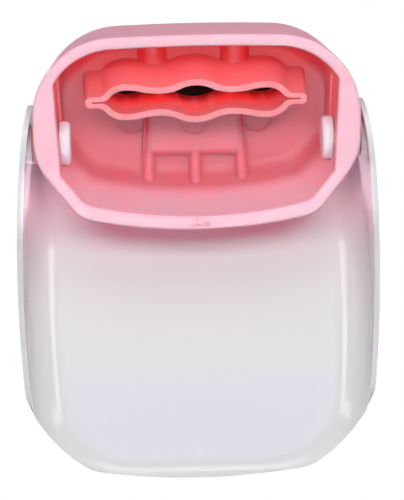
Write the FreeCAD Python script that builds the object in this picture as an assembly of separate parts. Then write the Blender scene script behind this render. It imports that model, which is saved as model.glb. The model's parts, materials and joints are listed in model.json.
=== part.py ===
"""Faucet extender for a child's wash basin.

A soft one-piece hood pulls over the end of a faucet: the spout goes in through a wavy
gripping sleeve in the hood's back wall.  A stiff translucent chute hangs from two snap
rivets in the hood's cheeks and tilts, so that the water runs out closer to the child.

Frame, in millimetres: X across the part (its mirror plane is X = 0), -Y out of the hood's
mouth, +Z up.  The origin is the middle of the sleeve's opening in the hood's back face.
"""
import FreeCAD, Part
import math
import os

from FreeCAD import Vector as V

# ---------------------------------------------------------------- driving dimensions
# hood, outside
hood_depth = 33.0            # back face to mouth
hood_half_width = 43.7       # at the mouth
hood_top = 18.8              # above the sleeve's axis, at the mouth
hood_bottom = 34.0           # below the sleeve's axis, at the mouth
hood_top_crown = 1.6         # rise of the top's middle over its ends
hood_bottom_crown = 3.6      # drop of the bottom's middle below its ends
hood_slant_top = 15.6        # below the axis, where the upright side turns to the slant
hood_slant_run = 11.9        # how far in from the side the slant meets the bottom
hood_top_corner = 22.0       # rounding radii, outside
hood_side_turn = 16.0
hood_bottom_corner = 8.0
hood_back_round = 7.0
hood_top_fall = 3.0          # how much lower the top is at the back
hood_side_fall = 1.8         # how much narrower each side is at the back
hood_bottom_rise = 0.8       # how much higher the bottom is at the back
lip_lean_start = 17.5        # below the axis, where the mouth starts to lean forward
lip_lean = 3.0               # forward reach of the lowest lip
lip_round = 0.8              # softening of the lip's edges

# hood, walls
hood_wall = 3.2
hood_floor_wall = 3.7
back_wall = 3.0
cheek_wall = 5.3             # from the side to the flat inner cheek, at the mouth's top
cheek_taper = 2.4            # how much nearer the cheeks are at the bottom
cheek_draft = 0.9            # how much nearer the cheeks are at the back
cavity_back_round = 5.0
cheek_step = 0.5             # shallow rebate in each cheek, above the rivet
cheek_step_start = 5.0       # behind the mouth

# gripping sleeve
sleeve_wall = 1.65
sleeve_side_gap = 8.8        # free end's side to the cheek, level with the top wall
sleeve_setback = 4.0         # free end behind the mouth
sleeve_centre = 5.9          # half height of the middle lobe, outside
sleeve_pinch = 3.8           # half height at the pinch between lobes
sleeve_lobe = 4.9            # half height of the two outer lobes
sleeve_tail = 1.5            # half height of the flat tail at each end
wave_places = (0.0, 0.325, 0.644, 0.888)      # the lobes, pinch and tail, over its half width
wave_turn = 0.5              # share of the way between crest and pinch where the wave turns
tail_turn = 0.75             # the same between the outer lobe and the tail
tail_chamfer = 0.8           # at the tail's two outer corners
sleeve_draft = 1.4           # growth of the sleeve, all round, from free end to back face
slit_half = 0.2              # half height of the slot where the tail pinches it

# stiffening behind and under the sleeve
panel_half_top = 13.2
panel_half_bottom = 14.8
panel_bottom = 21.6
panel_stand = 2.0            # panel face in front of the back wall
rib_radius = 1.8
rib_stand = 3.2              # crest of a rib in front of the back wall
rib_end = 29.0               # lower ends of the three ribs, below the axis
rib_splay = 2.0              # how much wider apart the outer ribs are at their lower ends
buttress_x = 11.4            # half-round buttresses between ceiling and sleeve
buttress_radius = 4.1
buttress_stand = 3.4
pin_mark_radius = 3.6        # round marks left by the mould's ejector pins
pin_mark_depth = 0.2
pin_mark_x = 17.5
pin_mark_below = 11.5

# pivot
pivot_behind_mouth = 12.0
pivot_below_axis = 13.0
rivet_head_radius = 6.0
rivet_head_height = 3.0
rivet_head_round = 1.3
rivet_shank_radius = 3.5
rivet_nose_radius = 2.7
rivet_barb_radius = 3.3
rivet_barb_height = 1.0
rivet_slot = 0.9             # width of the split in the rivet's nose
running_clearance = 0.05     # radial, rivet shank in the hood
side_clearance = 0.3         # between faces that slide past each other
spot_face_depth = 0.4
boss_radius = 5.5
boss_height = 0.5            # hood's outer boss, beyond its half width
ear_boss_radius = 5.4

# chute, measured from the pivot axis: "reach" along the floor, "rise" square to it
droop = 70.0                 # degrees below the hood's axis, as the chute hangs at rest
chute_wall = 1.5
ear_thickness = 2.43         # ear with the boss on its inner face
chute_widest = 45.0          # reach of the widest place
chute_side_radius = 330.0    # the sides bow outwards
chute_tip = 93.5             # reach of the tip
chute_tip_crown = 2.5        # how far the tip's middle stands out past its ends
chute_tip_corner = 19.4      # from the widest side to the tip's flatter middle
chute_tip_shoulder = 70.0    # reach where the sides turn to the rounded tip
chute_tip_bulge = 2.5        # outward bow of the rounded tip corners
chute_curl = 6.5             # how far the curling floor would run on past the trimmed tip
chute_corner_round = 30.0    # plan radius of the curling corners
chute_tip_soften = 12.0      # radius where the rounded corners meet the flatter middle
floor_clearance = 1.76       # floor's inner face to what the hood's rear heel sweeps
chute_floor_sag = 1.5        # how much deeper the middle of the floor is
chute_rear = 6.0             # floor's rear edge, behind the pivot axis
chute_floor_round = 12.0     # outer radius where the sides turn into the floor
chute_rear_round = 4.0       # the same where the floor's rear edge would be, far back
ear_radius = 10.5
ear_turn = (69.5, 130.0, 190.0)        # degrees round the pivot: ear's front, top, rear edge
rim_passes = ((50.0, 15.0), (71.0, 7.8))       # reach, height over the floor
rim_tip_height = 3.0         # rim over the floor at the tip

PAST = 6.0                   # how far a cutting tool runs past the face that it cuts
JOIN = 0.5                   # how deep one solid reaches into another to become one with it
SAME = 0.01                  # closeness that counts as the same place
NEARLY = 0.8                 # cosine from which a direction counts as lying along an axis
SHORT = 1.0                  # edges no longer than this are not corners of a main form
TIGHTEST = 1.05              # largest fillet that meets a rounded corner, over its radius


# ---------------------------------------------------------------- helpers
def arc(a, middle, b):
    return Part.Arc(a, middle, b).toShape()


def line(a, b):
    return Part.LineSegment(a, b).toShape()


def mirrored(shape):
    return shape.mirror(V(0, 0, 0), V(1, 0, 0))


def both_sides(shape):
    return [shape, mirrored(shape)]


def rod(radius, start, end):
    along = end - start
    return Part.makeCylinder(radius, along.Length, start, along)


def across(half_width, edges):
    """Solid of a closed side view, drawn in the plane X = 0."""
    face = Part.Face(Part.Wire(edges))
    face.translate(V(-half_width, 0, 0))
    return face.extrude(V(2 * half_width, 0, 0))


def polygon(points):
    return [line(a, b) for a, b in zip(points, points[1:] + points[:1])]


def edges_where(shape, test):
    return [edge for edge in shape.Edges if test(edge)]


def middle_of(edge):
    return edge.valueAt((edge.FirstParameter + edge.LastParameter) / 2)


def lies_along(edge, axis):
    """True for a long edge that runs mostly along an axis."""
    run = edge.lastVertex().Point - edge.firstVertex().Point
    return run.Length > SHORT and abs(run.dot(axis)) > NEARLY * run.Length


def flipped(point):
    return V(-point.x, point.y, point.z)


# ---------------------------------------------------------------- hood
mouth_y = -hood_depth
front_y = mouth_y - lip_lean - PAST
pivot = V(0, mouth_y + pivot_behind_mouth, -pivot_below_axis)


def hood_section(y, inset):
    """Sharp-cornered outline of the hood at depth y, drawn inset all round by a wall."""
    back = (y - mouth_y) / hood_depth
    top = hood_top - hood_top_fall * back - inset
    bottom = -hood_bottom + hood_bottom_rise * back + inset * hood_floor_wall / hood_wall
    half = hood_half_width - hood_side_fall * back - inset
    foot = hood_half_width - hood_slant_run - hood_side_fall * back - inset / 2
    turn = -hood_slant_top + inset / 3
    shoulder, heel = top - hood_top_crown, bottom + hood_bottom_crown
    return Part.Wire([
        arc(V(-half, y, shoulder), V(0, y, top), V(half, y, shoulder)),
        line(V(half, y, shoulder), V(half, y, turn)),
        line(V(half, y, turn), V(foot, y, heel)),
        arc(V(foot, y, heel), V(0, y, bottom), V(-foot, y, heel)),
        line(V(-foot, y, heel), V(-half, y, turn)),
        line(V(-half, y, turn), V(-half, y, shoulder))])


def hood_block(inset, back_y, back_round):
    """Rounded solid between the sections in front of the mouth and at back_y."""
    block = Part.makeLoft([hood_section(front_y, inset), hood_section(back_y, inset)], True, True)
    slant_middle = -(hood_slant_top + hood_bottom) / 2
    turns = ((0, hood_top, hood_top_corner), (slant_middle, 0, hood_side_turn),
             (-hood_bottom, slant_middle, hood_bottom_corner))
    for low, high, radius in turns:
        chosen = edges_where(block, lambda e: lies_along(e, V(0, 1, 0))
                             and low < middle_of(e).z < high)
        block = block.makeFillet(radius - inset, chosen)
    rear = edges_where(block, lambda e: all(abs(v.Point.y - back_y) < SAME for v in e.Vertexes))
    return block.makeFillet(back_round, rear)


def cheek_plane(y, z):
    """Half width between the flat inner cheeks at depth y and height z."""
    down = (hood_top - z) / (hood_top + hood_bottom)
    top_half = hood_half_width - cheek_wall
    return top_half - cheek_taper * down - cheek_draft * (y - mouth_y) / hood_depth


def cheek_slab(widen=0.0):
    """Block between the two inner cheek planes, as deep and as high as the hood."""
    sections = []
    for y in (front_y, PAST):
        high, low = cheek_plane(y, hood_top) + widen, cheek_plane(y, -hood_bottom) + widen
        corners = [V(-high, y, hood_top), V(high, y, hood_top), V(low, y, -hood_bottom),
                   V(-low, y, -hood_bottom)]
        sections.append(Part.Wire(polygon(corners)))
    return Part.makeLoft(sections, True, True)


def cheek_rebates(cavity):
    """Shallow rebates behind the mouth, from the ceiling down to the rivet heads."""
    start = mouth_y + cheek_step_start
    height = hood_top - pivot.z
    band = Part.makeBox(2 * hood_half_width, pivot.y - start + rivet_head_radius, height,
                        V(-hood_half_width, start, pivot.z))
    return cavity.common(cheek_slab(cheek_step)).common(band)


def lip_y(z):
    """Depth of the lip's face at height z: upright above, leaning forward below."""
    below = max(-lip_lean_start - z, 0)
    return mouth_y - lip_lean * below / (hood_bottom - lip_lean_start)


def mouth_cutter():
    """Everything in front of the mouth."""
    reach = front_y - PAST
    high, low = hood_top + PAST, -hood_bottom - PAST
    outline = [(mouth_y, high), (mouth_y, -lip_lean_start), (lip_y(low), low), (reach, low),
               (reach, high)]
    return across(hood_half_width + PAST, polygon([V(0, y, z) for y, z in outline]))


def on_lip(edge):
    ends = [vertex.Point for vertex in edge.Vertexes] + [middle_of(edge)]
    return all(abs(point.y - lip_y(point.z)) < SAME for point in ends)


def wave(crest, valley, turn, offset, low):
    """Two tangent arcs, level at both ends, from a crest to a valley (or back up), moved
    outwards by an offset and never below the height low.  Returns the points that they pass."""
    rise = valley - crest
    slope = 2 * math.atan2(rise.z, rise.x)
    inflection = crest + rise * turn + V(-math.sin(slope), 0, math.cos(slope)) * offset
    start, end_z = crest + V(0, 0, offset), max(valley.z + offset, low)
    first = (inflection.x - start.x) / math.sin(slope)
    second = (end_z - inflection.z) / (1 - math.cos(slope))
    end = V(inflection.x + second * math.sin(slope), 0, end_z)
    half_turn = V(math.sin(slope / 2), 0, 1 - math.cos(slope / 2))
    return [start, start + half_turn * first, inflection, end - half_turn * second, end]


def sleeve_outline(y, wall):
    """Closed wavy outline at depth y, drawn inset by wall: a middle lobe, two outer lobes
    and a flat tail at each end, where the inner faces pinch to a slit."""
    free_y = mouth_y + sleeve_setback
    grow = sleeve_draft * (y - free_y) / -free_y
    offset, low = grow - wall, slit_half + grow if wall else 0
    half_width = cheek_plane(free_y, hood_top) - sleeve_side_gap
    heights = (sleeve_centre, sleeve_pinch, sleeve_lobe, sleeve_tail)
    stations = [V(half_width * place, 0, z) for place, z in zip(wave_places, heights)]
    passed = []
    for crest, valley, turn in zip(stations, stations[1:], (wave_turn, wave_turn, tail_turn)):
        passed += wave(crest, valley, turn, offset, low)
    end_x, tail = half_width + offset, passed[-1]
    chamfer = min(tail_chamfer, tail.z / 2)
    corners = [tail, V(end_x - chamfer, 0, tail.z), V(end_x, 0, tail.z - chamfer)]
    quarter = [arc(*passed[i:i + 3]) for first in range(0, len(passed), 5) for i in (first, first + 2)]
    quarter += [line(a, b) for a, b in zip(corners, corners[1:])]
    upper = mirrored(Part.Wire(quarter)).Edges[::-1] + quarter
    lower = [edge.mirror(V(0, 0, 0), V(0, 0, 1)) for edge in upper]
    ends = [line(V(x, 0, corners[-1].z), V(x, 0, -corners[-1].z)) for x in (-end_x, end_x)]
    outline = Part.Wire(Part.__sortEdges__(upper + lower + ends))
    outline.translate(V(0, y, 0))
    return outline


def sleeve_solid(wall, start_y, end_y):
    return Part.makeLoft([sleeve_outline(start_y, wall), sleeve_outline(end_y, wall)], True, True)


def inside_stiffeners():
    """Panel, ribs and buttresses that stand on the back wall inside the hood."""
    wall_y = -back_wall
    root_y = wall_y + back_wall / 2
    corners = [(-panel_half_top, 0), (panel_half_top, 0), (panel_half_bottom, -panel_bottom),
               (-panel_half_bottom, -panel_bottom)]
    panel = Part.Face(Part.Wire(polygon([V(x, root_y, z) for x, z in corners])))
    panel = panel.extrude(V(0, wall_y - panel_stand - root_y, 0))
    pieces = [panel.cut(pin_mark(0, wall_y - panel_stand))]
    crest_y = wall_y - rib_stand + rib_radius
    outer_top, outer_end = panel_half_top - rib_radius, panel_half_top - rib_radius + rib_splay
    for x_top, x_end in ((0, 0), (outer_top, outer_end), (-outer_top, -outer_end)):
        top, end = V(x_top, crest_y, -sleeve_pinch), V(x_end, crest_y, -rib_end)
        pieces += [rod(rib_radius, top, end), Part.makeSphere(rib_radius, end)]
        web = Part.makeBox(2 * rib_radius, root_y - crest_y, rib_end - panel_bottom,
                           V(x_end - rib_radius, crest_y, -rib_end))
        pieces.append(web)
    for x in (-buttress_x, buttress_x):
        centre_y = wall_y - buttress_stand + buttress_radius
        pieces.append(rod(buttress_radius, V(x, centre_y, 0), V(x, centre_y, hood_top)))
    return pieces


def pin_mark(x, face_y):
    """Cutter for the shallow round mark that a mould's ejector pin leaves in a face."""
    spot, depth = V(x, face_y, -pin_mark_below), V(0, pin_mark_depth, 0)
    return rod(pin_mark_radius, spot - depth, spot + depth)


def boss_face():
    return hood_half_width + boss_height


def head_seat():
    """Half width between the two rivet seats, spot-faced square into the cheeks."""
    return cheek_plane(pivot.y, pivot.z) + spot_face_depth


def on_axis(x):
    return V(x, pivot.y, pivot.z)


def rivet_holes():
    """Running bore through each cheek, with a square seat for the rivet's head."""
    inside, seat, outside = (on_axis(x) for x in (head_seat() - PAST, head_seat(), boss_face() + PAST))
    bore = rod(rivet_shank_radius + running_clearance, inside, outside)
    spot_face = rod(rivet_head_radius + side_clearance, inside, seat)
    return both_sides(bore) + both_sides(spot_face)


def hood():
    block = hood_block(0.0, 0.0, hood_back_round)
    boss = rod(boss_radius, on_axis(head_seat() + JOIN), on_axis(boss_face()))
    shell = block.multiFuse(both_sides(boss))
    sharpest = hood_bottom_corner - hood_wall
    cavity = hood_block(hood_wall, -back_wall, min(cavity_back_round, TIGHTEST * sharpest))
    room = cavity.common(cheek_slab())
    shell = shell.cut([room, cheek_rebates(cavity)])
    free_y = mouth_y + sleeve_setback
    inside = [piece.common(block) for piece in inside_stiffeners()]
    shell = shell.multiFuse(inside + [sleeve_solid(0.0, free_y, -back_wall / 2)])
    tunnel = sleeve_solid(sleeve_wall, free_y - JOIN, PAST)
    marks = [pin_mark(x, -back_wall) for x in (-pin_mark_x, pin_mark_x)]
    shell = shell.cut([tunnel, mouth_cutter()] + rivet_holes() + marks).removeSplitter()
    return shell.makeFillet(lip_round, edges_where(shell, on_lip))


# ---------------------------------------------------------------- rivets
def rivet():
    """Snap rivet of the right-hand cheek: round head inside the hood, split nose outside."""
    ear_in, ear_out = ear_faces()
    seat, crown = head_seat(), head_seat() - rivet_head_height
    head = rod(rivet_head_radius, on_axis(crown), on_axis(seat))
    rim = edges_where(head, lambda e: e.Closed and abs(middle_of(e).x - crown) < SAME)
    head = head.makeFillet(rivet_head_round, rim)
    shank = rod(rivet_shank_radius, on_axis(seat), on_axis(ear_in))
    recess = ear_out - rivet_barb_height
    nose = rod(rivet_nose_radius, on_axis(ear_in), on_axis(recess))
    barb = Part.makeCone(rivet_barb_radius, rivet_nose_radius, rivet_barb_height, on_axis(recess),
                         V(1, 0, 0))
    body = head.multiFuse([shank, nose, barb])
    split = Part.makeBox(ear_out - ear_in + PAST, rivet_slot, 4 * rivet_barb_radius,
                         on_axis(ear_in - JOIN) - V(0, rivet_slot / 2, 2 * rivet_barb_radius))
    return body.cut(split).removeSplitter()


# ---------------------------------------------------------------- chute
# Drawn in line with the hood: reach runs along -Y, drop along -Z, the pivot axis is X.
def heel_sweep():
    """Radius round the pivot that the hood's rounded rear heel reaches."""
    centre = V(0, -hood_back_round, -hood_bottom + hood_bottom_rise + hood_back_round)
    return (centre - pivot).Length + hood_back_round


rear_y = chute_rear + ear_radius + PAST
chute_floor = heel_sweep() + floor_clearance       # drop from the pivot to the floor's inner face
bottom_z = -chute_floor - chute_floor_sag - chute_wall


def ear_faces():
    """Distances from the mirror plane of the ear boss's inner face and the ear's outer face."""
    inner = boss_face() + side_clearance
    return inner, inner + ear_thickness


def bow(reach):
    """How much nearer than at its widest place the bowed side is."""
    return (reach - chute_widest) ** 2 / (2 * chute_side_radius)


chute_half_width = ear_faces()[1] + bow(0)


def chute_half_at(reach):
    """Outside half width of the bowed sides at a reach from the pivot axis."""
    return chute_half_width - bow(reach)


def bowed_side(reach, inset):
    return V(chute_half_at(reach) - inset, -reach, 0)


def chute_block(inset):
    """Solid of the chute's outer form (or, inset by the wall, of its hollow), with the
    floor curling up all round into the sides and past the tip."""
    height = ear_radius + PAST
    end = chute_tip + chute_curl
    rear, middle, corner = (bowed_side(reach, inset)
                            for reach in (-rear_y, chute_widest, end - inset))
    plan = Part.Face(Part.Wire([
        arc(rear, middle, corner), line(corner, flipped(corner)),
        arc(flipped(corner), flipped(middle), flipped(rear)), line(flipped(rear), rear)]))
    plan.translate(V(0, 0, -2 * chute_floor))
    block = plan.extrude(V(0, 0, 2 * chute_floor + height))
    corners = edges_where(block, lambda e: lies_along(e, V(0, 0, 1)) and middle_of(e).y < 0)
    block = block.makeFillet(chute_corner_round - inset, corners)
    bottom, side = bottom_z + inset, chute_half_width + PAST
    low, high = V(side, 0, bottom + chute_floor_sag), V(side, 0, 2 * height)
    bed = Part.Face(Part.Wire([arc(flipped(low), V(0, 0, bottom), low), line(low, high),
                               line(high, flipped(high)), line(flipped(high), flipped(low))]))
    bed.translate(V(0, rear_y + PAST, 0))
    block = block.common(bed.extrude(V(0, -end - rear_y - 2 * PAST, 0)))
    return round_floor(block, low.z + SHORT, inset)


def round_floor(block, below, inset):
    """Fillets between floor and sides that grow from the rear to the corners' full radius."""
    full, least = chute_floor_round - inset, chute_rear_round - inset
    radii = []
    for number, edge in enumerate(block.Edges, 1):
        if middle_of(edge).z < below and middle_of(edge).y < rear_y - SHORT:
            from_rear = edge.valueAt(edge.FirstParameter).y > edge.valueAt(edge.LastParameter).y
            side = lies_along(edge, V(0, 1, 0))
            radii.append((number, least if side and from_rear else full,
                          least if side and not from_rear else full))
    document = FreeCAD.newDocument()
    base = document.addObject("Part::Feature", "block")
    base.Shape = block
    rounded = document.addObject("Part::Fillet", "rounded")
    rounded.Base, rounded.Edges = base, radii
    document.recompute()
    shape = rounded.Shape.copy()
    FreeCAD.closeDocument(document.Name)
    return shape.Solids[0]


def tip_trim():
    """Plan outline that trims the curled floor square to itself at the rounded tip."""
    start = bowed_side(chute_tip_shoulder, 0)
    end = V(chute_half_width - chute_tip_corner, -chute_tip + chute_tip_crown, 0)
    chord = end - start
    bulge = (start + end) / 2 + V(-chord.y, chord.x, 0).normalize() * chute_tip_bulge
    wide = V(chute_half_width + PAST, -chute_tip_shoulder + PAST, 0)
    rear = V(wide.x, rear_y + PAST, 0)
    plan = Part.Face(Part.Wire([
        line(rear, wide), line(wide, start), arc(start, bulge, end),
        arc(end, V(0, -chute_tip, 0), flipped(end)),
        arc(flipped(end), flipped(bulge), flipped(start)), line(flipped(start), flipped(wide)),
        line(flipped(wide), flipped(rear)), line(flipped(rear), rear)]))
    plan.translate(V(0, 0, -2 * chute_floor))
    prism = plan.extrude(V(0, 0, 4 * chute_floor))
    turns = edges_where(prism, lambda e: lies_along(e, V(0, 0, 1))
                        and abs(abs(middle_of(e).x) - end.x) < SAME)
    return prism.makeFillet(chute_tip_soften, turns)


def side_view():
    """Side outline of the chute: round ear, straight rear edge and falling rim."""
    ear_front, ear_top, ear_rear = (
        V(0, -math.cos(math.radians(turn)), math.sin(math.radians(turn))) * ear_radius
        for turn in ear_turn)
    passes = [V(0, -reach, height - chute_floor) for reach, height in rim_passes]
    tip = V(0, -chute_tip, rim_tip_height - chute_floor)
    toe, heel = V(0, tip.y - PAST, bottom_z - PAST), V(0, chute_rear, bottom_z - PAST)
    front = V(0, toe.y, tip.z)
    rim = Part.BSplineCurve()
    rim.interpolate([ear_front] + passes + [tip])
    return [rim.toShape(), line(tip, front), line(front, toe), line(toe, heel),
            line(heel, ear_rear), arc(ear_rear, ear_top, ear_front)]


def chute():
    ear_in, ear_out = ear_faces()
    tray = chute_block(0.0).cut(chute_block(chute_wall)).common(tip_trim())
    tray = tray.common(across(chute_half_width + 2 * PAST, side_view()))
    boss = rod(ear_boss_radius, V(ear_in, 0, 0), V(ear_out - chute_wall / 2, 0, 0))
    hole = rod(rivet_nose_radius, V(0, 0, 0), V(ear_out + PAST, 0, 0))
    recess = rod(rivet_barb_radius, V(ear_out - rivet_barb_height, 0, 0), V(ear_out + PAST, 0, 0))
    tray = tray.multiFuse(both_sides(boss))
    tray = tray.cut(both_sides(hole) + both_sides(recess)).removeSplitter()
    tray.rotate(V(0, 0, 0), V(1, 0, 0), droop)
    tray.translate(pivot)
    return tray


# ---------------------------------------------------------------- output
def main():
    right_rivet = rivet()
    pieces = {"hood": hood(), "chute": chute(), "pivot_rivet_right": right_rivet,
              "pivot_rivet_left": mirrored(right_rivet)}
    os.makedirs("parts", exist_ok=True)
    for name, shape in pieces.items():
        if len(shape.Solids) != 1 or not shape.isValid():
            raise RuntimeError(name + " is not one valid solid")
        shape.Solids[0].exportStep("parts/" + name + ".step")
        box = shape.BoundBox
        print(name, "volume", round(shape.Volume), "box", [round(v, 2) for v in (
            box.XMin, box.XMax, box.YMin, box.YMax, box.ZMin, box.ZMax)])


main()
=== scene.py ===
"""Faucet extender for a child's wash basin: soft pink hood, translucent white chute, rivets.

Units are metres, in the row frame: X across, -Y out of the hood's mouth, +Z up.
"""
import json
import math

import bmesh
import bpy
import numpy as np
from mathutils import Matrix, Vector


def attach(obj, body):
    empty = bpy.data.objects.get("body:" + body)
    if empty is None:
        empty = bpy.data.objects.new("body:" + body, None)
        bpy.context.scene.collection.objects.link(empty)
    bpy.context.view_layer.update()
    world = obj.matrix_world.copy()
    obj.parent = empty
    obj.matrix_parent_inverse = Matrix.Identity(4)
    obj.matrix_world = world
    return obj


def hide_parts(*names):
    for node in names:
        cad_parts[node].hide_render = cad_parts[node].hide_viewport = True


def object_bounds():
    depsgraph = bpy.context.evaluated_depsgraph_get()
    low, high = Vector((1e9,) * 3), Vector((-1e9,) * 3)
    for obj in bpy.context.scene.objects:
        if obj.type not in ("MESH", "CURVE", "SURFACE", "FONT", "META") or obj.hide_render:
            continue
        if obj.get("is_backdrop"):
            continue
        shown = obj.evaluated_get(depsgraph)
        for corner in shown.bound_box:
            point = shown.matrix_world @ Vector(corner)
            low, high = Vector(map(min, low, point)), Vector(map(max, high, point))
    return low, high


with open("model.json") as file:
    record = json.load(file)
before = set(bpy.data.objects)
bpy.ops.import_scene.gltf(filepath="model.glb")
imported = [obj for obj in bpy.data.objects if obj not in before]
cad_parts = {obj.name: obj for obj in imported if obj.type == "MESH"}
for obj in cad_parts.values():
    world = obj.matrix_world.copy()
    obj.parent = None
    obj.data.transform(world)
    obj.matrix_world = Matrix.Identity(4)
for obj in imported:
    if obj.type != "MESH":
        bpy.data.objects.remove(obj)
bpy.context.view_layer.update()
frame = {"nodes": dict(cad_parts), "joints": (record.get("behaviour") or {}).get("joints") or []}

MM = 0.001
WELD = 2e-6                   # distance under which a CAD node's corners are merged
nodes = frame["nodes"]
joint = frame["joints"][0]
pivot = Vector(joint["pos_m"])

# ---------------------------------------------------------------- sizes, in millimetres
# chute, as in its CAD: reach along the floor from the pivot axis, rise square to it
DROOP = 70.0                  # degrees below the hood's axis at rest
CHUTE_WALL = 1.5
CHUTE_HALF = 50.0
CHUTE_WIDEST = 45.0
SIDE_RADIUS = 330.0
CHUTE_END = 100.0             # where the curling floor would end if it weren't trimmed
CORNER_ROUND = 30.0
FLOOR_BOTTOM = -31.0
FLOOR_SAG = 1.5
SAG_HALF = 56.0
FLOOR_ROUND = 12.0            # fillet between floor and sides, outside
REAR_ROUND = 4.5              # the same beside the floor's rear edge
ROUND_GROWS = (-4.0, 30.0)    # reach over which the fillet grows
REAR_FOOT = (-6.0, -37.0)     # line of the rear edge, to the ear's rear
EAR_RADIUS = 10.5
EAR_TURN = (190.0, 69.5)
EAR_FRONT = 3.68              # reach where the ear's round outline runs into the rim
EAR_FOOT = 9.0                # reach of the floor's edge below that point
STRAIGHT_FROM = 20.0          # reach from which the skin's columns stand square to the floor
RIM = ((50.0, -13.0), (71.0, -20.2), (93.5, -25.0))
TIP = 93.5
TIP_CROWN = 2.5               # how far its middle stands out past its ends
TIP_HALF = 30.6
TIP_SHOULDER = 70.0           # reach where the sides turn to the rounded tip
TIP_BULGE = 2.5
TIP_SOFTEN = 1.0              # width of the blend between the tip's two arcs
RIM_ROUND = 0.45
EAR_OUT = 46.93               # ear's outer face, from the mirror plane
BOSS_IN = 44.5                # boss on the ear's inner face
EAR_BOSS = 5.4                # radii round the pivot: boss, hole for the rivet's nose, recess
RIVET_HOLE = 2.73
RIVET_RECESS = 3.33
RECESS_DEPTH = 1.0
CUT_MARGIN = 1.0              # how far a cutting bar stands out past the skin
# density of the chute's skin: rows from floor to rim, columns, floor's grid across
ROWS = 44
EAR_COLUMNS = 30
SHOULDER_COLUMNS = 10
COLUMN_STEP = 1.6
CORNER_COLUMNS = 44
END_COLUMNS = 16
FLOOR_ACROSS = 50
LONGEST_COLUMN = 90.0         # no column from floor to rim is longer
# hood, in metres
MOUTH = -0.033                # depth of the lip's face
LIP_LEAN_START = -0.0175      # height below which the lip leans forward
LIP_LEAN = 0.1818             # forward reach per drop of height
HOOD_MIDDLE = -0.0076         # height of the hood's middle
BACK_SKIN = -0.0005           # depth behind which a point belongs to the hood's back
SLEEVE_HALF = 0.0315          # box round the sleeve: half width, half height, root
SLEEVE_RISE = 0.0095
SLEEVE_ROOT = -0.003
SLOT_HALF = 0.0302            # dark card in the slot: half width, half height, depth
SLOT_RISE = 0.0068
SLOT_DARK = -0.0004
RING_MARKS = ((-0.0175, 0.0038), (0.0175, 0.0040), (0.0, 0.0034))       # place across and radius
RING_HEIGHT = -0.0115
RING_WIDTH = 0.0004
RING_WANDER = 0.0006          # how far the flash strays from its circle
RING_START = (0.0022, 0.0026)         # depths over which the flash begins and ends
RING_END = (0.0068, 0.0072)
SCAR = (0.0007, -0.0318, 0.0034, 0.0012)      # gate scar: place across, height, half sizes
SCAR_FACE = (-0.031, -0.0315)
# panel on the hood's back wall, in millimetres: half width and height of its ends, depths
PANEL_TOP = (12.6, -6.0)
PANEL_FOOT = (13.8, -20.9)
PANEL_ROOT = -2.0
PANEL_FACE = -6.3
PANEL_DRAFT = 1.8             # growth of its outline towards the wall
PANEL_ROUND = 1.5

# ---------------------------------------------------------------- colours of the soft rubber, some of them painted light and shade
# painted shade: the cavity's deeper red stands in for light that has bounced round inside the hood
CAVITY_SHADE_PINK = (0.945, 0.27, 0.30)
# painted light: the cavity floor's paler pink stands in for the direct light that falls on it
FLOOR_LIT_PINK = (0.985, 0.61, 0.75)
# painted shade: the darker pink stands in for the sleeve's shadow on the back wall
WALL_SHADE_PINK = (0.66, 0.165, 0.21)
SCAR_PINK = (0.90, 0.28, 0.38)
# the rubber's own pink outside; its bluish tint is partly painted sheen, as the hood's top catches
# at a grazing view
OUTER_PINK = (0.97, 0.34, 0.50)
# painted light and sheen: the lip's paler pink stands in for the front light on its face and the
# haze it catches
LIP_SHEEN_PINK = (0.98, 0.52, 0.63)
THROUGH_RED = (1.0, 0.08, 0.20)       # light that has come through the rubber


# ---------------------------------------------------------------- small helpers
def new_object(name, mesh):
    """Object in the scene, with its place in its mesh."""
    made = bpy.data.objects.new(name, mesh)
    bpy.context.scene.collection.objects.link(made)
    return made


def finished(work, name):
    """Turn a bmesh into an object."""
    mesh = bpy.data.meshes.new(name)
    work.to_mesh(mesh)
    work.free()
    return new_object(name, mesh)


def smooth(mesh, sharp_degrees):
    """Smooth shading, except across edges sharper than an angle."""
    mesh.shade_smooth()
    mesh.set_sharp_from_angle(angle=math.radians(sharp_degrees))


def moulded_copy(node, name):
    """A CAD node's skin with its loose triangles merged, smooth over its roundings."""
    source = nodes[node].data
    flat = np.zeros(len(source.vertices) * 3)
    source.vertices.foreach_get("co", flat)
    mesh = bpy.data.meshes.new(name)
    mesh.from_pydata(flat.reshape(-1, 3).tolist(), [], [list(p.vertices) for p in source.polygons])
    work = bmesh.new()
    work.from_mesh(mesh)
    bmesh.ops.remove_doubles(work, verts=work.verts, dist=WELD)
    bmesh.ops.recalc_face_normals(work, faces=work.faces)
    work.to_mesh(mesh)
    work.free()
    smooth(mesh, 32.0)
    return new_object(name, mesh)


def weighted_normals(piece):
    """Shade large faces flat and leave the turn of the light to the roundings between them."""
    modifier = piece.modifiers.new("weighted_normals", "WEIGHTED_NORMAL")
    modifier.mode = "FACE_AREA"
    modifier.keep_sharp = True
    modifier.weight = 90


# ---------------------------------------------------------------- chute
def side_half(reach):
    """Outside half width of the bowed sides."""
    return CHUTE_HALF - (reach - CHUTE_WIDEST) ** 2 / (2 * SIDE_RADIUS)


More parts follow.
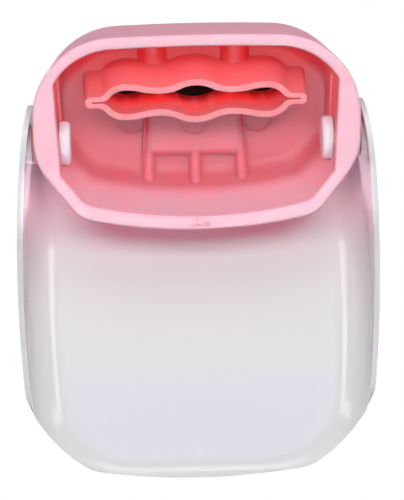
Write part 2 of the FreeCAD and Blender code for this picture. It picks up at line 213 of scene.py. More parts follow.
def plan_point(along, inset):
    """Point and outward direction on the right half of the plan outline: along is a reach on
    the bowed side, then 0..1 round the corner, then 0..1 from there to the mirror plane."""
    part, value = along
    corner_round = CORNER_ROUND - inset
    end = CHUTE_END - inset
    # the corner's arc is tangent to the bowed side and to the end line
    centre_reach = end - corner_round
    side_turn = math.atan((centre_reach - CHUTE_WIDEST) / SIDE_RADIUS)
    touch = centre_reach + corner_round * math.sin(side_turn)
    centre_x = side_half(touch) - inset - corner_round * math.cos(side_turn)
    if part == "side":
        slope = (value - CHUTE_WIDEST) / SIDE_RADIUS
        out = Vector((1.0, slope)).normalized()
        return Vector((side_half(value) - inset, value)), out
    if part == "corner":
        turn = side_turn + (math.pi / 2 - side_turn) * value
        out = Vector((math.cos(turn), math.sin(turn)))
        return Vector((centre_x, centre_reach)) + out * corner_round, out
    return Vector((centre_x * (1 - value), end)), Vector((0.0, 1.0))


def floor_height(x, inset):
    """Rise of the sagging floor at a distance x from the mirror plane."""
    return FLOOR_BOTTOM + inset + FLOOR_SAG * (x / SAG_HALF) ** 2


def blend(low, high, value):
    """0 below low, 1 above high, smooth between."""
    share = min(max((value - low) / (high - low), 0.0), 1.0)
    return share * share * (3 - 2 * share)


def round_at(along, inset):
    """Fillet radius between floor and wall; it shrinks towards the floor's rear edge."""
    part, value = along
    grown = blend(*ROUND_GROWS, value) if part == "side" else 1.0
    return REAR_ROUND + (FLOOR_ROUND - REAR_ROUND) * grown - inset


class Profile:
    """Section through wall, fillet and floor at one place of the plan outline."""

    def __init__(self, along, inset):
        self.at, self.out = plan_point(along, inset)
        self.radius = round_at(along, inset)
        self.tilt = 0.0
        for _ in range(3):
            foot = self.at - self.out * self.radius * (1 - math.sin(self.tilt))
            self.tilt = math.atan(2 * FLOOR_SAG * foot.x / SAG_HALF ** 2 * self.out.x)
        self.middle = floor_height(foot.x, inset) + self.radius * math.cos(self.tilt)
        self.turned = self.radius * (math.pi / 2 - self.tilt)

    def point(self, along):
        """Place at a distance along the section from the floor's edge: x, reach, rise."""
        if along > self.turned:
            flat, rise = self.at, self.middle + along - self.turned
        else:
            turn = along / self.radius - math.pi / 2 + self.tilt
            flat = self.at - self.out * self.radius * (1 - math.cos(turn))
            rise = self.middle + self.radius * math.sin(turn)
        return Vector((flat.x, flat.y, rise))


def natural_spline(points):
    """Smooth curve through points in a plane, as a function of the share of its chords."""
    chords = [math.dist(a, b) for a, b in zip(points, points[1:])]
    knots = np.concatenate([[0.0], np.cumsum(chords)])
    count = len(points)
    gaps = np.diff(knots)
    matrix, right = np.eye(count), np.zeros((count, 2))
    values = np.array(points)
    for i in range(1, count - 1):
        matrix[i, i - 1:i + 2] = gaps[i - 1], 2 * (gaps[i - 1] + gaps[i]), gaps[i]
        rise_after, rise_before = values[i + 1] - values[i], values[i] - values[i - 1]
        right[i] = 6 * (rise_after / gaps[i] - rise_before / gaps[i - 1])
    bend = np.linalg.solve(matrix, right)

    def place(share):
        at = share * knots[-1]
        i = min(max(int(np.searchsorted(knots, at)) - 1, 0), count - 2)
        a, b, gap = knots[i + 1] - at, at - knots[i], gaps[i]
        spot = (bend[i] * a ** 3 + bend[i + 1] * b ** 3) / (6 * gap)
        spot += (values[i] / gap - bend[i] * gap / 6) * a
        spot += (values[i + 1] / gap - bend[i + 1] * gap / 6) * b
        return Vector(spot.tolist())
    return place


def ear_point(degrees):
    """Reach and rise of a point on the ear's round outline."""
    turn = math.radians(degrees)
    return Vector((math.cos(turn), math.sin(turn))) * EAR_RADIUS


rim_curve = natural_spline([tuple(ear_point(EAR_TURN[1]))] + list(RIM))
rim_spots = np.array([rim_curve(share) for share in np.linspace(0, 1, 400)])


def rim_height(reach):
    """Rise of the rim's curve at a reach in front of the ear."""
    return float(np.interp(reach, rim_spots[:, 0], rim_spots[:, 1]))


def circle_through(a, b, c):
    """Centre and radius of the circle through three points of a plane."""
    (ax, ay), (bx, by), (cx, cy) = a, b, c
    twice = 2 * (ax * (by - cy) + bx * (cy - ay) + cx * (ay - by))
    squares = [p[0] ** 2 + p[1] ** 2 for p in (a, b, c)]
    x = (squares[0] * (by - cy) + squares[1] * (cy - ay) + squares[2] * (ay - by)) / twice
    y = (squares[0] * (cx - bx) + squares[1] * (ax - cx) + squares[2] * (bx - ax)) / twice
    return Vector((x, y)), math.dist((x, y), a)


def tip_arcs():
    """Circles of the tip's crown and of its right corner, which bulges out from its chord."""
    start = Vector((side_half(TIP_SHOULDER), TIP_SHOULDER))
    end = Vector((TIP_HALF, TIP - TIP_CROWN))
    chord = end - start
    bulge = (start + end) / 2 + Vector((chord.y, -chord.x)).normalized() * TIP_BULGE
    crown = circle_through((-TIP_HALF, end.y), (0, TIP), (TIP_HALF, end.y))
    return crown, circle_through(tuple(start), tuple(bulge), tuple(end))


tip_crown, tip_corner = tip_arcs()


def tip_outline(x):
    """Reach at which the tip is trimmed, at a distance x from the mirror plane; the corner's
    arc runs softly into the crown's."""
    crown, corner = (centre.y + math.sqrt(max(radius ** 2 - (x - centre.x) ** 2, 0.0))
                     for centre, radius in (tip_crown, tip_corner))
    if x < tip_corner[0].x:
        return crown
    gap = max(TIP_SOFTEN - abs(crown - corner), 0.0) / TIP_SOFTEN
    return min(crown, corner) - gap * gap * TIP_SOFTEN / 4


def chute_columns(inset):
    """Rows of points from the floor's edge up to the rim, for each place of the right half of
    the plan outline, from the rear edge to the mirror plane."""
    columns = []
    shares = np.linspace(0, 1, ROWS)
    floor_rise = FLOOR_BOTTOM + inset
    rear, rear_top = Vector(REAR_FOOT), ear_point(EAR_TURN[0])
    level = (floor_rise - rear.y) / (rear_top.y - rear.y)
    rear_reach = rear.x + (rear_top.x - rear.x) * level
    # ear: slanting columns that fan out to its round outline
    for share in np.arange(EAR_COLUMNS) / EAR_COLUMNS:
        top = ear_point(EAR_TURN[0] + (EAR_TURN[1] - EAR_TURN[0]) * share)
        foot = Vector((rear_reach + share * (EAR_FOOT - rear_reach), floor_rise))
        columns.append(slanted_column(foot, top, inset, shares))
    for share in np.arange(SHOULDER_COLUMNS) / SHOULDER_COLUMNS:
        reach = EAR_FRONT + (STRAIGHT_FROM - EAR_FRONT) * share
        foot = Vector((EAR_FOOT + (STRAIGHT_FROM - EAR_FOOT) * share, floor_rise))
        columns.append(slanted_column(foot, Vector((reach, rim_height(reach))), inset, shares))
    places = [("side", r) for r in np.arange(STRAIGHT_FROM, CHUTE_END - CORNER_ROUND, COLUMN_STEP)]
    places += [("corner", v) for v in np.linspace(0, 1, CORNER_COLUMNS)[:-1]]
    places += [("end", v) for v in np.linspace(0, 1, END_COLUMNS)]
    for place in places:
        profile = Profile(place, inset)
        length = length_to_rim(profile)
        columns.append([profile.point(length * share) for share in shares])
    return columns


def length_to_rim(profile):
    """Length of a profile from the floor's edge to where rim or tip trims it, by halving."""
    low, high = 0.0, LONGEST_COLUMN
    for _ in range(22):
        middle = (low + high) / 2
        spot = profile.point(middle)
        inside = spot.z < rim_height(spot.y) and spot.y < tip_outline(abs(spot.x))
        low, high = (middle, high) if inside else (low, middle)
    return low


def slanted_column(foot, top, inset, shares):
    """Column whose reach changes with its rise, from the floor's edge to a point of the rim."""
    def reach_at(rise):
        return foot.x + (top.x - foot.x) * (rise - foot.y) / (top.y - foot.y)

    points = []
    profile = Profile(("side", foot.x), inset)
    total = profile.turned + top.y - profile.middle
    for share in shares:
        spot = profile.point(share * total)
        for _ in range(3):
            spot = Profile(("side", reach_at(spot.z)), inset).point(share * total)
        points.append(spot)
    final = Profile(("side", top.x), inset)
    points[-1] = Vector((final.at.x, top.x, top.y))
    return points


def floor_patch(work, edge, side_count, inset):
    """Grid of the floor between its two sides, its rear edge and its tip."""
    across = FLOOR_ACROSS
    patch = [[None] * (side_count + 1) for _ in range(across + 1)]
    for b in range(side_count + 1):
        patch[0][b], patch[across][b] = edge[b], edge[-1 - b]
    for a in range(across + 1):
        patch[a][side_count] = edge[side_count + a]
    rear_left, rear_right = patch[0][0].co, patch[across][0].co
    tip_left, tip_right = patch[0][side_count].co, patch[across][side_count].co
    for a in range(1, across):
        u = a / across
        spot = rear_left.lerp(rear_right, u)
        patch[a][0] = work.verts.new((spot.x, spot.y, floor_height(spot.x, inset)))
        for b in range(1, side_count):
            v = b / side_count
            spot = patch[a][0].co * (1 - v) + patch[a][side_count].co * v
            spot += patch[0][b].co * (1 - u) + patch[across][b].co * u
            spot -= rear_left.lerp(rear_right, u) * (1 - v) + tip_left.lerp(tip_right, u) * v
            patch[a][b] = work.verts.new((spot.x, spot.y, floor_height(spot.x, inset)))
    for a in range(across):
        for b in range(side_count):
            work.faces.new((patch[a][b], patch[a + 1][b], patch[a + 1][b + 1], patch[a][b + 1]))
    return patch


def chute_skin(work, inset):
    """One skin of the chute, walls and floor; returns its rim and its rear edge."""
    half = chute_columns(inset)
    left = [[Vector((-p.x, p.y, p.z)) for p in column] for column in half]
    columns = [[work.verts.new(p) for p in column] for column in left + half[-2::-1]]
    for a, b in zip(columns, columns[1:]):
        for k in range(ROWS - 1):
            work.faces.new((a[k], a[k + 1], b[k + 1], b[k]))
    patch = floor_patch(work, [column[0] for column in columns],
                        len(half) - 1 - FLOOR_ACROSS // 2, inset)
    rear = columns[0][::-1] + [row[0] for row in patch[1:-1]] + columns[-1]
    return [column[-1] for column in columns], rear


def soft_edges(piece, width, segments, sharper_than=30.0):
    """Round a piece's edges; width in millimetres."""
    bevel = piece.modifiers.new("soft_edges", "BEVEL")
    bevel.width = width * MM
    bevel.segments = segments
    bevel.limit_method = "ANGLE"
    bevel.angle_limit = math.radians(sharper_than)
    bevel.harden_normals = True


def chute_moulding():
    """The chute at rest: an outer and an inner skin, joined along the rim and the rear edge."""
    work = bmesh.new()
    (outer_rim, outer_rear), (inner_rim, inner_rear) = (
        chute_skin(work, inset) for inset in (0.0, CHUTE_WALL))
    for outer, inner in ((outer_rim, inner_rim), (outer_rear, inner_rear)):
        for a, b, c, d in zip(outer, outer[1:], inner[1:], inner):
            work.faces.new((a, b, c, d))
    turn = Matrix(((1, 0, 0), (0, -1, 0), (0, 0, 1)))
    droop = Matrix.Rotation(math.radians(DROOP), 3, "X")
    for vert in work.verts:
        vert.co = droop @ (turn @ vert.co) * MM + pivot
    bmesh.ops.recalc_face_normals(work, faces=work.faces)
    made = finished(work, "chute_moulding")
    smooth(made.data, 35.0)
    soft_edges(made, RIM_ROUND, 3, sharper_than=50.0)
    return made


# ---------------------------------------------------------------- shader groups
def chain(tree, operation, first, second=None, third=None):
    """One math node; numbers and sockets may be mixed."""
    node = tree.nodes.new("ShaderNodeMath")
    node.operation = operation
    for socket, value in zip(node.inputs, (first, second, third)):
        if isinstance(value, (int, float)):
            socket.default_value = value
        elif value is not None:
            tree.links.new(value, socket)
    return node.outputs[0]


def ramp(tree, value, start, end):
    """0 below start, 1 above end, smooth between."""
    node = tree.nodes.new("ShaderNodeMapRange")
    node.interpolation_type = "SMOOTHSTEP"
    node.inputs["From Min"].default_value = start
    node.inputs["From Max"].default_value = end
    tree.links.new(value, node.inputs["Value"])
    return node.outputs["Result"]


def socket_group(name, inputs, outputs):
    """A shader node group with named inputs (name, kind, default) and outputs (name, kind)."""
    group = bpy.data.node_groups.new(name, "ShaderNodeTree")
    for label, kind, default in inputs:
        made = group.interface.new_socket(name=label, in_out="INPUT", socket_type=kind)
        if default is not None:
            made.default_value = default
    for label, kind in outputs:
        group.interface.new_socket(name=label, in_out="OUTPUT", socket_type=kind)
    ends = group.nodes.new("NodeGroupInput"), group.nodes.new("NodeGroupOutput")
    return group, ends[0], ends[1]


def noise(tree, vector, scale, detail):
    """Noise texture; its scale is a number or a socket."""
    node = tree.nodes.new("ShaderNodeTexNoise")
    node.inputs["Detail"].default_value = detail
    tree.links.new(vector, node.inputs["Vector"])
    if isinstance(scale, (int, float)):
        node.inputs["Scale"].default_value = scale
    else:
        tree.links.new(scale, node.inputs["Scale"])
    return node.outputs["Fac"]


def object_place(tree):
    """The surface's place: the vector, and its x, y and z."""
    place = tree.nodes.new("ShaderNodeTexCoord").outputs["Object"]
    split = tree.nodes.new("ShaderNodeSeparateXYZ")
    tree.links.new(place, split.inputs[0])
    return place, split.outputs


def fine_grain():
    """Fine moulded grain and slow unevenness, as a height and a roughness."""
    group, put_in, put_out = socket_group(
        "fine_grain",
        [("Grain Size", "NodeSocketFloat", 900.0), ("Wave Size", "NodeSocketFloat", 60.0),
         ("Roughness", "NodeSocketFloat", 0.4), ("Roughness Spread", "NodeSocketFloat", 0.1)],
        [("Height", "NodeSocketFloat"), ("Roughness", "NodeSocketFloat")])
    given = put_in.outputs
    place, _ = object_place(group)
    grain = noise(group, place, given["Grain Size"], 3.0)
    wave = noise(group, place, given["Wave Size"], 2.0)
    group.links.new(chain(group, "MULTIPLY_ADD", grain, 0.25, wave), put_out.inputs["Height"])
    centred = chain(group, "SUBTRACT", wave, 0.5)
    rough = chain(group, "MULTIPLY_ADD", centred, given["Roughness Spread"], given["Roughness"])
    group.links.new(rough, put_out.inputs["Roughness"])
    return group


GRAIN = fine_grain()


def plastic(name, colour, roughness, bump_mm, grain=900.0, wave=60.0, spread=0.06, **settings):
    """Principled plastic: even colour, roughness and height from the grain group."""
    material = bpy.data.materials.new(name)
    material.use_nodes = True
    tree = material.node_tree
    shader = tree.nodes["Principled BSDF"]
    shader.inputs["Base Color"].default_value = (*colour, 1.0)
    for label, value in settings.items():
        shader.inputs[label.replace("_", " ")].default_value = value
    surface = tree.nodes.new("ShaderNodeGroup")
    surface.node_tree = GRAIN
    surface.inputs["Grain Size"].default_value = grain
    surface.inputs["Wave Size"].default_value = wave
    surface.inputs["Roughness"].default_value = roughness
    surface.inputs["Roughness Spread"].default_value = spread
    bump = tree.nodes.new("ShaderNodeBump")
    bump.inputs["Strength"].default_value = 1.0
    bump.inputs["Distance"].default_value = bump_mm * MM
    tree.links.new(surface.outputs["Height"], bump.inputs["Height"])
    tree.links.new(surface.outputs["Roughness"], shader.inputs["Roughness"])
    tree.links.new(bump.outputs["Normal"], shader.inputs["Normal"])
    return material


def lip_mask():
    """1 on the lip's face, 0 from a millimetre behind it; the lip leans forward below."""
    group, put_in, put_out = socket_group(
        "lip_mask", [("Fade Depth", "NodeSocketFloat", 0.001)], [("Lip", "NodeSocketFloat")])
    _, (x, y, z) = object_place(group)
    low = chain(group, "MAXIMUM", chain(group, "SUBTRACT", LIP_LEAN_START, z), 0.0)
    behind = chain(group, "SUBTRACT", chain(group, "MULTIPLY_ADD", low, LIP_LEAN, y), MOUTH)
    share = chain(group, "DIVIDE", behind, put_in.outputs["Fade Depth"])
    lip = chain(group, "SUBTRACT", 1.0, ramp(group, share, 0.1, 1.0))
    group.links.new(lip, put_out.inputs["Lip"])
    return group


def mixed_colour(tree, factor, first, second):
    """Colour between two colours or colour sockets, first at factor 0."""
    node = tree.nodes.new("ShaderNodeMix")
    node.data_type = "RGBA"
    colours = [socket for socket in node.inputs if socket.type == "RGBA"]
    for socket, value in zip(colours, (first, second)):
        if isinstance(value, tuple):
            socket.default_value = (*value, 1.0)
        else:
            tree.links.new(value, socket)
    tree.links.new(factor, node.inputs["Factor"])
    return [socket for socket in node.outputs if socket.type == "RGBA"][0]


def near(tree, distance, width):
    """1 at distance 0, falling smoothly to 0 at a width."""
    away = chain(tree, "ABSOLUTE", distance)
    return chain(tree, "SUBTRACT", 1.0, ramp(tree, away, 0.25 * width, width))


def product(tree, *factors):
    """Product of sockets."""
    result = factors[0]
    for factor in factors[1:]:
        result = chain(tree, "MULTIPLY", result, factor)
    return result


def mould_marks():
    """Height of the flash rings round the ejector pins and of the rough gate scar, in metres."""
    group, put_in, put_out = socket_group(
        "mould_marks",
        [("Ring Height", "NodeSocketFloat", 0.0002), ("Scar Height", "NodeSocketFloat", 0.0012)],
        [("Height", "NodeSocketFloat"), ("Scar", "NodeSocketFloat")])
    place, (x, y, z) = object_place(group)
    ragged = noise(group, place, 700.0, 4.0)
    uneven = chain(group, "SUBTRACT", ragged, 0.5)
    above = chain(group, "SUBTRACT", z, RING_HEIGHT)
    rings = 0.0
    for centre, radius in RING_MARKS:
        aside = chain(group, "SUBTRACT", x, centre)
        squares = chain(group, "MULTIPLY_ADD", aside, aside, chain(group, "MULTIPLY", above, above))
        away = chain(group, "MULTIPLY_ADD", uneven, RING_WANDER, chain(group, "SQRT", squares))
        ring = near(group, chain(group, "SUBTRACT", away, radius), RING_WIDTH)
        rings = chain(group, "ADD", rings, ring)
    lower_half = ramp(group, chain(group, "MULTIPLY", above, -1.0), -0.001, 0.002)
    forward = chain(group, "MULTIPLY", y, -1.0)
    before_end = chain(group, "SUBTRACT", 1.0, ramp(group, forward, *RING_END))
    ring_height = product(group, rings, lower_half, ramp(group, forward, *RING_START), before_end,
                          put_in.outputs["Ring Height"])
    scar = product(group, near(group, chain(group, "SUBTRACT", x, SCAR[0]), SCAR[2]),
                   near(group, chain(group, "SUBTRACT", z, SCAR[1]), SCAR[3]),
                   ramp(group, y, *SCAR_FACE))
    scar_height = product(group, scar, ragged, put_in.outputs["Scar Height"])
    group.links.new(chain(group, "ADD", ring_height, scar_height), put_out.inputs["Height"])
    torn = ramp(group, ragged, 0.48, 0.58)
    group.links.new(chain(group, "MULTIPLY", scar, torn), put_out.inputs["Scar"])
    return group


def placed_group(tree, group):
    """Put a node group in a material and return its outputs."""
    node = tree.nodes.new("ShaderNodeGroup")
    node.node_tree = group
    return node.outputs


def soft_pink_rubber():
    """Rubber whose pink carries painted light and shade: a deeper painted shade inside the cavity,
    paler painted light towards the cavity's floor, a darker painted shade on the back wall below the
    sleeve and a paler painted sheen on the lip.
    """
    material = plastic(
        "soft_pink_rubber", OUTER_PINK, 0.42, 0.012,
        Subsurface_Weight=1.0, Subsurface_Radius=(1.0, 0.3, 0.24), Subsurface_Scale=0.003,
        Coat_Weight=0.15, Coat_Roughness=0.25)
    tree = material.node_tree
    _, (x, y, z) = object_place(tree)
    depth = chain(tree, "MULTIPLY", z, -1.0)
    # painted light and shade: deep red high in the cavity, paler towards its floor, where direct
    # light falls
    inside = mixed_colour(tree, ramp(tree, depth, 0.010, 0.032), CAVITY_SHADE_PINK, FLOOR_LIT_PINK)
    # painted shade on the back wall below the sleeve, where the sleeve's shadow falls
    back_wall_shade = product(tree, ramp(tree, y, -0.018, -0.003), ramp(tree, depth, -0.008, 0.005))
    inside = mixed_colour(tree, back_wall_shade, inside, WALL_SHADE_PINK)
    # inside the hood, the painted shade and light take the place of the outer pink
    cavity = tree.nodes.new("ShaderNodeAttribute")
    cavity.attribute_name = "cavity"
    skin = mixed_colour(tree, cavity.outputs["Fac"], OUTER_PINK, inside)
    # painted light and sheen on the lip's face
    skin = mixed_colour(tree, placed_group(tree, lip_mask())["Lip"], skin, LIP_SHEEN_PINK)
    marks = placed_group(tree, mould_marks())
    skin = mixed_colour(tree, marks["Scar"], skin, SCAR_PINK)
    tree.links.new(skin, tree.nodes["Principled BSDF"].inputs["Base Color"])
    mark_bump = tree.nodes.new("ShaderNodeBump")
    mark_bump.inputs["Distance"].default_value = 1.0
    tree.links.new(marks["Height"], mark_bump.inputs["Height"])
    tree.links.new(mark_bump.outputs["Normal"], tree.nodes["Bump"].inputs["Normal"])
    return material


soft_pink = soft_pink_rubber()
milky_white = plastic(
    "milky_white_plastic", (0.69, 0.70, 0.71), 0.05, 0.002, wave=25.0, spread=0.02,
    Subsurface_Weight=1.0, Subsurface_Radius=(1.0, 1.0, 1.0), Subsurface_Scale=0.0008,
    IOR=1.49)
rivet_white = plastic(
    "rivet_white_plastic", (0.76, 0.76, 0.86), 0.22, 0.003,
    Subsurface_Weight=1.0, Subsurface_Radius=(1.0, 0.9, 1.0), Subsurface_Scale=0.002,
    IOR=1.49)


def dress(piece, material, body, slot, *replaced):
    """Give a piece its material and body, and hide the CAD node that it stands for. Its slot is not
    used.
    """
    piece.data.materials.clear()
    piece.data.materials.append(material)
    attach(piece, body)
    if replaced:
        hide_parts(*replaced)


# ---------------------------------------------------------------- pieces
def mark_cavity(mesh):
    """Store on each vertex whether it lies inside the hood, for the painted shade and light of its
    skin.
    """
    marks = mesh.attributes.new("cavity", "FLOAT", "POINT")
    for vertex, mark in zip(mesh.vertices, marks.data):
        place, normal = vertex.co, vertex.normal
        inwards = -normal.x * place.x - normal.z * (place.z - HOOD_MIDDLE)
        faces_in = inwards > 0.3 * math.hypot(place.x, place.z - HOOD_MIDDLE)
        faces_out_of_mouth = normal.y < -0.3 and place.y > MOUTH + 0.002
        on_sleeve = (abs(place.x) < SLEEVE_HALF and abs(place.z) < SLEEVE_RISE
                     and place.y < SLEEVE_ROOT)
        is_inside = place.y < BACK_SKIN and (faces_in or faces_out_of_mouth or on_sleeve)
        mark.value = 1.0 if is_inside else 0.0


def back_panel():
    """Tapered panel under the sleeve, level with the crests of the ribs that run out of it."""
    outline = [(-PANEL_TOP[0], PANEL_TOP[1]), (PANEL_TOP[0], PANEL_TOP[1]),
               (PANEL_FOOT[0], PANEL_FOOT[1]), (-PANEL_FOOT[0], PANEL_FOOT[1])]
    count = len(outline)
    spots = [((x + math.copysign(grow, x)) * MM, y * MM, (z - grow) * MM)
             for y, grow in ((PANEL_ROOT, PANEL_DRAFT), (PANEL_FACE, 0.0)) for x, z in outline]
    faces = [tuple(range(count)), tuple(range(2 * count - 1, count - 1, -1))]
    faces += [(i, i + count, (i + 1) % count + count, (i + 1) % count) for i in range(count)]
    work = bmesh.new()
    verts = [work.verts.new(spot) for spot in spots]
    for face in faces:
        work.faces.new([verts[i] for i in face])
    bmesh.ops.recalc_face_normals(work, faces=work.faces)
    panel = finished(work, "back_panel")
    smooth(panel.data, 50.0)
    soft_edges(panel, PANEL_ROUND, 5)
    # the panel takes the cavity's painted shade and light
    marks = panel.data.attributes.new("cavity", "FLOAT", "POINT")
    for mark in marks.data:
        mark.value = 1.0
    return panel


def pin(radius, start, end):
    """Round bar along the pivot axis between two distances from the mirror plane, in mm."""
    work = bmesh.new()
    made = bmesh.ops.create_cone(work, cap_ends=True, segments=72, radius1=radius * MM,
                                 radius2=radius * MM, depth=abs(end - start) * MM)
    place = Matrix.Translation(pivot + Vector(((start + end) / 2 * MM, 0, 0)))
    lying = Matrix.Rotation(math.pi / 2, 4, "Y")
    bmesh.ops.transform(work, verts=made["verts"], matrix=place @ lying)
    return finished(work, "pin")


def join_and_cut(piece, steps):
    """Join other shapes to a piece or cut them out of it; each step is an operation and a shape."""
    for operation, tool in steps:
        change = piece.modifiers.new(operation.lower(), "BOOLEAN")
        change.operation, change.object, change.solver = operation, tool, "EXACT"
    graph = bpy.context.evaluated_depsgraph_get()
    mesh = bpy.data.meshes.new_from_object(piece.evaluated_get(graph))
    piece.modifiers.clear()
    piece.data = mesh
    for _, tool in steps:
        bpy.data.objects.remove(tool)
    smooth(mesh, 35.0)


hood = moulded_copy("hood", "hood_moulding")
mark_cavity(hood.data)
weighted_normals(hood)
dress(hood, soft_pink, "hood", "hood_rubber", "hood")
dress(back_panel(), soft_pink, "hood", "hood_rubber", "hood")

chute = chute_moulding()
pivot_steps = (("UNION", EAR_BOSS, BOSS_IN, EAR_OUT - CHUTE_WALL / 3),
               ("DIFFERENCE", RIVET_HOLE, BOSS_IN - CUT_MARGIN, EAR_OUT + CUT_MARGIN),
               ("DIFFERENCE", RIVET_RECESS, EAR_OUT - RECESS_DEPTH, EAR_OUT + CUT_MARGIN))
join_and_cut(chute, [(operation, pin(radius, hand * start, hand * end)) for hand in (-1, 1)
                     for operation, radius, start, end in pivot_steps])
weighted_normals(chute)
dress(chute, milky_white, "chute", "chute_plastic", "chute")

for side in ("right", "left"):
    rivet = moulded_copy("pivot_rivet_" + side, "rivet_" + side)
    weighted_normals(rivet)
    dress(rivet, rivet_white, "chute", "rivet_plastic", "pivot_rivet_" + side)


# ---------------------------------------------------------------- studio
def plane(name, corners):
    """One flat face."""
    mesh = bpy.data.meshes.new(name)
    mesh.from_pydata(corners, [], [list(range(len(corners)))])
    return new_object(name, mesh)


def matt(name, colour, roughness):
    """Plain matt material for the stage."""
    material = bpy.data.materials.new(name)
    material.use_nodes = True
    shader = material.node_tree.nodes["Principled BSDF"]
    shader.inputs["Base Color"].default_value = (*colour, 1)
    shader.inputs["Roughness"].default_value = roughness
    return material


def mixed_with(material, factor, shader):
    """Replace a material's surface by another shader where a factor is 1."""
    tree = material.node_tree
    mix = tree.nodes.new("ShaderNodeMixShader")
    tree.links.new(factor, mix.inputs["Fac"])
    tree.links.new(tree.nodes["Principled BSDF"].outputs["BSDF"], mix.inputs[1])
    tree.links.new(shader, mix.inputs[2])
    tree.links.new(mix.outputs["Shader"], tree.nodes["Material Output"].inputs["Surface"])


def studio_floor():
    """Floor that looks plain white to the camera and bounces no light on the part."""
    low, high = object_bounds()
    height = low.z - FLOOR_GAP
    corners = [(x * FLOOR_HALF, y * FLOOR_HALF, height)
               for x, y in ((-1, -1), (1, -1), (1, 1), (-1, 1))]
    floor = plane("studio_floor", corners)
    white = matt("studio_floor_white", (0.9, 0.9, 0.9), 0.9)
    tree = white.node_tree
    glow = tree.nodes.new("ShaderNodeEmission")
    path = tree.nodes.new("ShaderNodeLightPath")
    mixed_with(white, path.outputs["Is Camera Ray"], glow.outputs["Emission"])
    floor.data.materials.append(white)
    floor.visible_diffuse = floor.visible_glossy = floor.visible_transmission = False
    floor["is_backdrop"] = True


FLOOR_GAP = 0.03
FLOOR_HALF = 3.0
studio_floor()


def tent_light(ambient, sides, from_behind, from_above, mirrored, mirrored_below):
    """White tent: dull in front, brighter at both sides, behind and above; glossy surfaces
    also see a bright, bluish table in front and below."""
    world = bpy.data.worlds.new("studio_tent")
    bpy.context.scene.world = world
    world.use_nodes = True
    tree = world.node_tree
    background = tree.nodes["Background"]
    place = tree.nodes.new("ShaderNodeTexCoord")
    split = tree.nodes.new("ShaderNodeSeparateXYZ")
    tree.links.new(place.outputs["Generated"], split.inputs[0])
    x, y, z = split.outputs
    path = tree.nodes.new("ShaderNodeLightPath").outputs
    at_sides = ramp(tree, chain(tree, "ABSOLUTE", x), 0.75, 1.0)
    above = chain(tree, "MULTIPLY", ramp(tree, z, 0.5, 0.95), from_above)
    behind = chain(tree, "MULTIPLY_ADD", ramp(tree, y, 0.2, 0.9), from_behind, above)
    lit = chain(tree, "MULTIPLY_ADD", at_sides, sides, chain(tree, "ADD", behind, ambient))
    forward = ramp(tree, chain(tree, "MULTIPLY", y, -1.0), 0.2, 0.7)
    below = ramp(tree, chain(tree, "MULTIPLY", z, -1.0), -0.1, 0.25)
    table = product(tree, forward, below, path["Is Glossy Ray"])
    duller_behind = chain(tree, "MULTIPLY_ADD", ramp(tree, y, 0.2, 0.7), -0.3, mirrored)
    seen = chain(tree, "MULTIPLY_ADD", table, mirrored_below, duller_behind)
    by_ray = tree.nodes.new("ShaderNodeMix")
    tree.links.new(path["Is Glossy Ray"], by_ray.inputs["Factor"])
    tree.links.new(lit, by_ray.inputs["A"])
    tree.links.new(seen, by_ray.inputs["B"])
    strength = chain(tree, "MAXIMUM", by_ray.outputs["Result"], path["Is Camera Ray"])
    colour = mixed_colour(tree, table, (1.0, 1.0, 1.0), (0.7, 0.85, 1.0))
    tree.links.new(colour, background.inputs["Color"])
    tree.links.new(strength, background.inputs["Strength"])


tent_light(ambient=0.04, sides=0.9, from_behind=0.9, from_above=0.05, mirrored=0.8,
           mirrored_below=2.0)


def softbox(name, place, aim, width, height, radiance, mirrored=True, colour=(1.0, 1.0, 1.0)):
    """Soft rectangular light of a given brightness, hidden from the camera and, where it
    isn't mirrored, from glossy surfaces too."""
    data = bpy.data.lights.new(name, "AREA")
    data.shape = "RECTANGLE"
    data.size, data.size_y = width, height
    data.energy = radiance * math.pi * width * height
    data.color = colour
    made = bpy.data.objects.new(name, data)
    bpy.context.scene.collection.objects.link(made)
    made.location = place
    made.rotation_euler = (Vector(aim) - Vector(place)).to_track_quat("-Z", "Y").to_euler()
    made.visible_camera = False
    made.visible_glossy = mirrored
    made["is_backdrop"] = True


softbox("front_softbox", (0.0, -0.832, 0.357), (0, -0.02, -0.03), 0.5, 0.14, 26.5, mirrored=False)
softbox("top_softbox", (0.0, -0.62, 0.62), (0, -0.02, -0.03), 0.6, 0.25, 3.0)
for hand in (-1, 1):
    softbox("side_softbox", (hand * 0.69, -0.60, 0.25), (0, -0.03, -0.04), 0.7, 0.14, 3.8)
    # light that the hood's cheeks throw on the translucent ears, and that comes through its slants
    softbox("glow_on_ear", (hand * 0.0438, -0.020, -0.0265), (hand * 0.06, -0.020, -0.0265),
            0.028, 0.015, 1.8 - 0.5 * hand, mirrored=False, colour=(1.0, 0.80, 0.95))
    softbox("glow_under_slant", (hand * 0.036, -0.007, -0.034), (hand * 0.042, 0.0, -0.041),
            0.018, 0.006, 1.2, mirrored=False, colour=THROUGH_RED)
# light that comes through the hood's top, through its sleeve and through its soft bottom
softbox("glow_at_ceiling", (0.0, -0.018, 0.0098), (0.0, -0.018, 0.02),
        0.074, 0.020, 0.12, mirrored=False, colour=(1.0, 0.7, 0.75))
softbox("glow_in_sleeve", (0.0, -0.012, 0.0), (0.0, -0.012, -0.01),
        0.044, 0.012, 0.7, mirrored=False, colour=(1.0, 0.12, 0.08))
softbox("glow_under_hood", (0.0, -0.0075, -0.0405), (0.0, -0.0015, -0.045),
        0.060, 0.005, 1.3, mirrored=False, colour=THROUGH_RED)

CARD_FOOT = -0.5
CARD_CORNER = 0.018
CORNER_STEPS = 8
CARD_EDGE = 0.004             # width and gain of a card's paler edge
CARD_EDGE_GAIN = 1.8


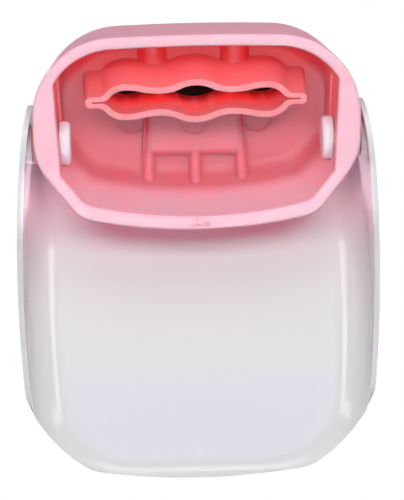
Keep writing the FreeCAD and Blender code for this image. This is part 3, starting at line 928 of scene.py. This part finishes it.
def card_outline(half, high, sag):
    """Outline of an upright card whose top corners are rounded and whose top edge sags in the
    middle; places across and heights."""
    right = [(half, CARD_FOOT), (half, high - CARD_CORNER)]
    for i in range(1, CORNER_STEPS + 1):
        angle = math.radians(90.0 * i / CORNER_STEPS)
        right.append((half - CARD_CORNER * (1 - math.cos(angle)),
                      high - CARD_CORNER * (1 - math.sin(angle))))
    inner = half - CARD_CORNER
    right += [(inner * s, high - sag * (1 - s * s)) for s in (0.75, 0.5, 0.25, 0.0)]
    return right + [(-x, z) for x, z in right[-2::-1]]


def mirror_card(name, distance, top, sag, half_width, colour):
    """Glowing card in front with a paler edge, seen in glossy surfaces alone."""
    for part, grow, gain in (("field", 0.0, 1.0), ("edge", CARD_EDGE, CARD_EDGE_GAIN)):
        outline = card_outline(half_width + grow, top + grow, sag)
        card = plane(name + "_" + part, [(x, -distance - grow, z) for x, z in outline])
        glow = bpy.data.materials.new(name + "_" + part)
        glow.use_nodes = True
        tree = glow.node_tree
        emission = tree.nodes.new("ShaderNodeEmission")
        emission.inputs["Color"].default_value = (*(c * gain for c in colour), 1.0)
        tree.links.new(emission.outputs["Emission"], tree.nodes["Material Output"].inputs["Surface"])
        card.data.materials.append(glow)
        card.visible_camera = card.visible_diffuse = card.visible_transmission = False
        card.visible_shadow = False
        card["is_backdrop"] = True


# the tent's front, its door and the cooler room beyond, one inside the other
mirror_card("tent_front", 0.75, 0.238, 0.013, 0.30, (1.6, 1.6, 1.55))
mirror_card("tent_door", 0.70, 0.190, 0.020, 0.070, (2.1, 2.1, 2.1))
mirror_card("room_beyond", 0.65, 0.126, 0.002, 0.060, (1.7, 2.0, 2.9))


def dark_behind_slot():
    """A black card just inside the back wall's face, seen from the front alone; through the faucet
    slot it shows black."""
    card = plane("dark_behind_slot", [(x * SLOT_HALF, SLOT_DARK, z * SLOT_RISE)
                                      for x, z in ((-1, -1), (1, -1), (1, 1), (-1, 1))])
    slot_black = matt("slot_black_card", (0.006, 0.005, 0.005), 1.0)
    tree = slot_black.node_tree
    clear = tree.nodes.new("ShaderNodeBsdfTransparent")
    facing = tree.nodes.new("ShaderNodeNewGeometry")
    mixed_with(slot_black, facing.outputs["Backfacing"], clear.outputs["BSDF"])
    card.data.materials.append(slot_black)
    card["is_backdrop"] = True


dark_behind_slot()

# camera: a little above the part and almost straight in front of it
LENS = 148.6
CAMERA_PLACE = Vector((-0.01316, -0.56421, 0.13213))
view = bpy.data.cameras.new("camera")
view.sensor_width = 36.0
view.lens = LENS
camera = bpy.data.objects.new("camera", view)
bpy.context.scene.collection.objects.link(camera)
YAW, DOWN, ROLL = (math.radians(a) for a in (1.5, 18.0, 0.95))
ahead = Vector((math.sin(YAW) * math.cos(DOWN), math.cos(YAW) * math.cos(DOWN), -math.sin(DOWN)))
turn = ahead.to_track_quat("-Z", "Y").to_matrix() @ Matrix.Rotation(-ROLL, 3, "Z")
camera.matrix_world = Matrix.Translation(CAMERA_PLACE) @ turn.to_4x4()
bpy.context.scene.camera = camera
bpy.context.scene.view_settings.view_transform = "Standard"
# enough bounces for light that scatters through the rubber and inside the cavity
bpy.context.scene.cycles.max_bounces = 24
bpy.context.scene.cycles.diffuse_bounces = 16
